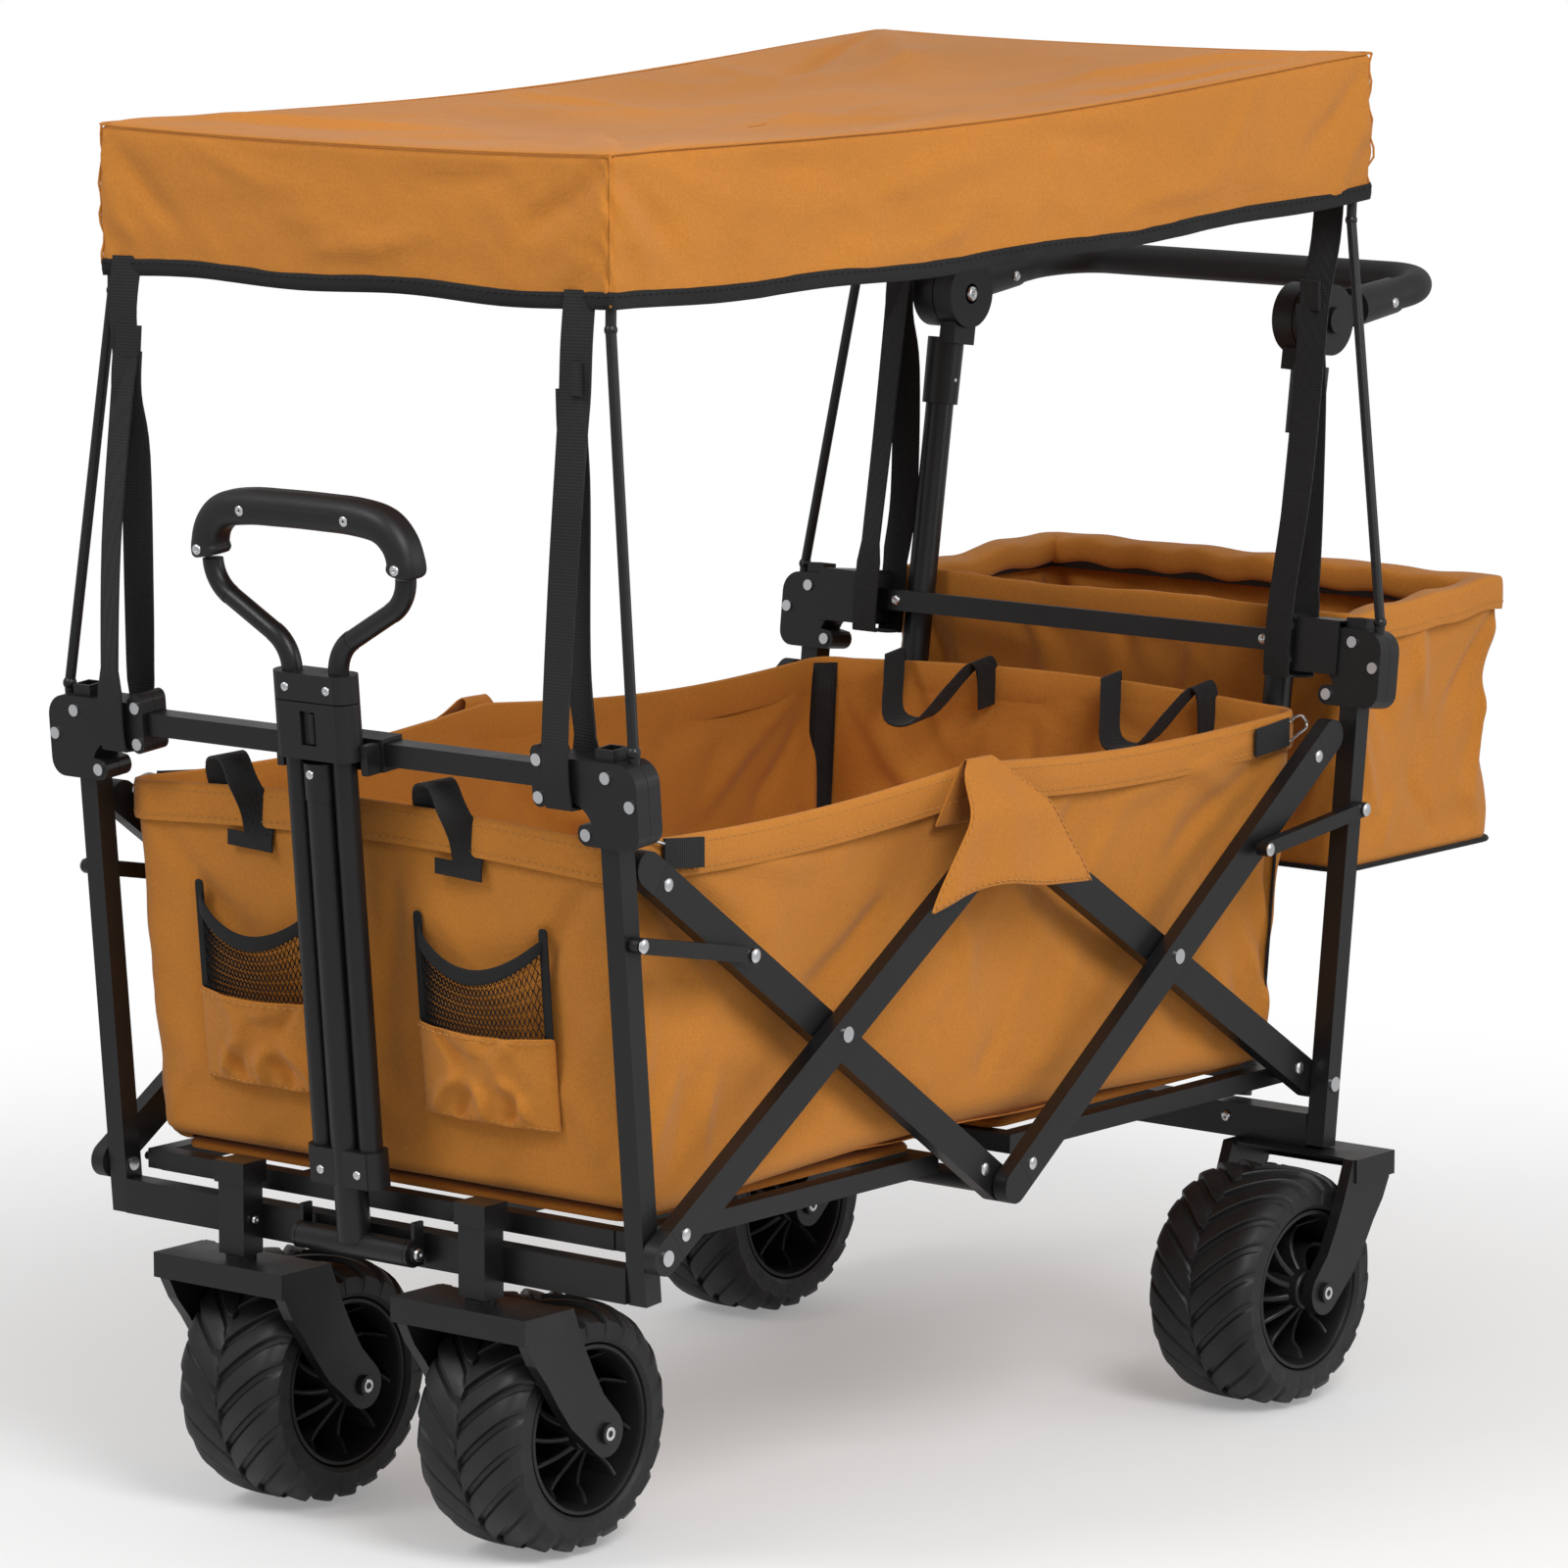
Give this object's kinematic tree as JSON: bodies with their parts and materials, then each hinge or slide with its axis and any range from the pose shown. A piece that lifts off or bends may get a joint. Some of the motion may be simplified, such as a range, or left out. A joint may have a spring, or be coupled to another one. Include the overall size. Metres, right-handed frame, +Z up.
{
  "type": "folding pull wagon",
  "caption": "Folding fabric wagon with scissor sides, canopy, telescoping pull handle, tilting push bar, rear basket and wide wheels on swivelling front casters.",
  "frame": {"origin": "on the floor under the centre of the overall box", "axes": "+Z up; +X to the wagon's side that is on the right when looking from the pull handle backwards; -Y towards the pull handle"},
  "size_m": [0.6208, 1.1556, 1.008],
  "materials": {
    "black_frame": "satin black powder coat",
    "black_plastic": "fine-grained black moulding",
    "zinc": "bright zinc plate",
    "orange_cloth": "woven polyester, orange with black binding",
    "webbing": "black woven webbing",
    "tyre": "black tread"
  },
  "bodies": {
    "front_frame": {"front_posts": "black_frame", "front_axle_beam": "black_frame", "front_crossbar": "black_frame", "front_brackets": "black_plastic", "front_rivets": "zinc", "caster_housings": "black_frame", "handle_mount": "black_frame", "handle_clip": "black_plastic", "front_canopy_rods": "black_frame", "tub": "orange_cloth", "front_pockets": "orange_cloth", "canopy": "orange_cloth", "front_straps": "webbing"},
    "rising_bars": {"rising_bars": "black_frame", "rising_bar_caps": "black_plastic", "rising_rivets": "zinc"},
    "falling_bars": {"falling_bars": "black_frame", "falling_bar_caps": "black_plastic", "falling_rivets": "zinc"},
    "front_cross": {"front_cross_bars": "black_frame", "front_cross_caps": "black_plastic"},
    "rear_cross": {"rear_cross_bars": "black_frame", "rear_cross_caps": "black_plastic"},
    "front_links": {"front_links": "black_frame"},
    "rear_links": {"rear_links": "black_frame"},
    "front_floor": {"front_floor_frame": "black_frame"},
    "rear_floor": {"rear_floor_frame": "black_frame"},
    "rear_frame": {"rear_posts": "black_frame", "rear_axle_beam": "black_frame", "rear_crossbar": "black_frame", "rear_brackets": "black_plastic", "rear_bracket_plates": "black_frame", "rear_rivets": "zinc", "rear_forks": "black_frame", "rear_canopy_rods": "black_frame", "push_tubes": "black_frame", "hub_bases": "black_plastic", "basket_rails": "black_frame", "rear_basket": "orange_cloth", "rear_straps": "webbing"},
    "handle": {"handle_stem": "black_frame"},
    "handle_slide": {"handle_tubes": "black_frame", "handle_clamp": "black_plastic", "latch_housing": "black_plastic", "handle_grip": "black_plastic"},
    "latch_button": {"latch_button": "black_plastic"},
    "push_handle": {"push_bar": "black_frame", "push_arms": "black_plastic"},
    "hub_button_left": {"hub_button_left": "black_plastic"},
    "hub_button_right": {"hub_button_right": "black_plastic"},
    "caster_left": {"caster_fork_left": "black_frame"},
    "caster_right": {"caster_fork_right": "black_frame"},
    "wheel_front_left": {"tyre_front_left": "tyre", "hub_front_left": "black_plastic"},
    "wheel_front_right": {"tyre_front_right": "tyre", "hub_front_right": "black_plastic"},
    "wheel_rear_left": {"tyre_rear_left": "tyre", "hub_rear_left": "black_plastic"},
    "wheel_rear_right": {"tyre_rear_right": "tyre", "hub_rear_right": "black_plastic"}
  },
  "joints": [
    {"name": "fold", "type": "hinge", "parent": "front_frame", "child": "rising_bars", "pos_m": [0, -0.4964, 0.234], "axis": [1, 0, 0], "range_deg": [0, 39], "deforming": ["tub", "canopy"]},
    {"name": "falling_pivot", "type": "hinge", "parent": "rising_bars", "child": "falling_bars", "pos_m": [0, -0.1064, 0.484], "axis": [1, 0, 0], "range_deg": [-78.1, 0]},
    {"name": "rear_frame_pivot", "type": "hinge", "parent": "falling_bars", "child": "rear_frame", "pos_m": [0, 0.2836, 0.234], "axis": [1, 0, 0], "range_deg": [0, 39.1]},
    {"name": "front_cross_pivot", "type": "hinge", "parent": "rising_bars", "child": "front_cross", "pos_m": [0, -0.3014, 0.359], "axis": [1, 0, 0], "range_deg": [-75.6, 0]},
    {"name": "rear_cross_pivot", "type": "hinge", "parent": "falling_bars", "child": "rear_cross", "pos_m": [0, 0.0886, 0.359], "axis": [1, 0, 0], "range_deg": [0, 75.6]},
    {"name": "front_link_pivot", "type": "hinge", "parent": "front_frame", "child": "front_links", "pos_m": [0, -0.51494, 0.45021], "axis": [1, 0, 0], "range_deg": [0, 75.3]},
    {"name": "rear_link_pivot", "type": "hinge", "parent": "rear_frame", "child": "rear_links", "pos_m": [0, 0.30798, 0.44157], "axis": [1, 0, 0], "range_deg": [-75.4, 0]},
    {"name": "front_floor_pivot", "type": "hinge", "parent": "front_frame", "child": "front_floor", "pos_m": [0, -0.4834, 0.238], "axis": [1, 0, 0], "range_deg": [0, 78.1]},
    {"name": "rear_floor_pivot", "type": "hinge", "parent": "rear_frame", "child": "rear_floor", "pos_m": [0, 0.2706, 0.238], "axis": [1, 0, 0], "range_deg": [-78.1, 0]},
    {"name": "handle_tilt", "type": "hinge", "parent": "front_frame", "child": "handle", "pos_m": [0, -0.5169, 0.211], "axis": [1, 0, 0], "range_deg": [0, 85]},
    {"name": "handle_slide", "type": "slide", "parent": "handle", "child": "handle_slide", "axis": [0, -0.0854, 0.9963], "range_m": [0, 0.24]},
    {"name": "latch_press", "type": "slide", "parent": "handle_slide", "child": "latch_button", "axis": [0, 0.9963, 0.0854], "range_m": [0, 0.0015], "stiffness_N_per_m": 900},
    {"name": "push_bar_tilt", "type": "hinge", "parent": "rear_frame", "child": "push_handle", "pos_m": [0, 0.38068, 0.8], "axis": [1, 0, 0], "range_deg": [-50, 50]},
    {"name": "hub_press_left", "type": "slide", "parent": "push_handle", "child": "hub_button_left", "axis": [1, 0, 0], "range_m": [0, 0.003], "stiffness_N_per_m": 900},
    {"name": "hub_press_right", "type": "slide", "parent": "push_handle", "child": "hub_button_right", "axis": [-1, 0, 0], "range_m": [0, 0.003], "stiffness_N_per_m": 900},
    {"name": "caster_swivel_left", "type": "hinge", "parent": "front_frame", "child": "caster_left", "pos_m": [-0.1125, -0.5144, 0.189], "axis": [0, 0, 1], "continuous": true},
    {"name": "caster_swivel_right", "type": "hinge", "parent": "front_frame", "child": "caster_right", "pos_m": [0.1125, -0.5144, 0.189], "axis": [0, 0, 1], "continuous": true},
    {"name": "wheel_spin_front_left", "type": "hinge", "parent": "caster_left", "child": "wheel_front_left", "pos_m": [-0.1125, -0.4519, 0.09], "axis": [1, 0, 0], "continuous": true},
    {"name": "wheel_spin_front_right", "type": "hinge", "parent": "caster_right", "child": "wheel_front_right", "pos_m": [0.1125, -0.4519, 0.09], "axis": [1, 0, 0], "continuous": true},
    {"name": "wheel_spin_rear_left", "type": "hinge", "parent": "rear_frame", "child": "wheel_rear_left", "pos_m": [-0.247, 0.2191, 0.09], "axis": [1, 0, 0], "continuous": true},
    {"name": "wheel_spin_rear_right", "type": "hinge", "parent": "rear_frame", "child": "wheel_rear_right", "pos_m": [0.247, 0.2191, 0.09], "axis": [1, 0, 0], "continuous": true}
  ],
  "couplings": [
    {"joint": "falling_pivot", "follows": "fold", "ratio": -2},
    {"joint": "rear_frame_pivot", "follows": "fold", "ratio": 1},
    {"joint": "front_cross_pivot", "follows": "fold", "ratio": -1.935},
    {"joint": "rear_cross_pivot", "follows": "fold", "ratio": 1.935},
    {"joint": "front_link_pivot", "follows": "fold", "ratio": 1.928},
    {"joint": "rear_link_pivot", "follows": "fold", "ratio": -1.93},
    {"joint": "front_floor_pivot", "follows": "fold", "ratio": 2},
    {"joint": "rear_floor_pivot", "follows": "fold", "ratio": -2}
  ]
}
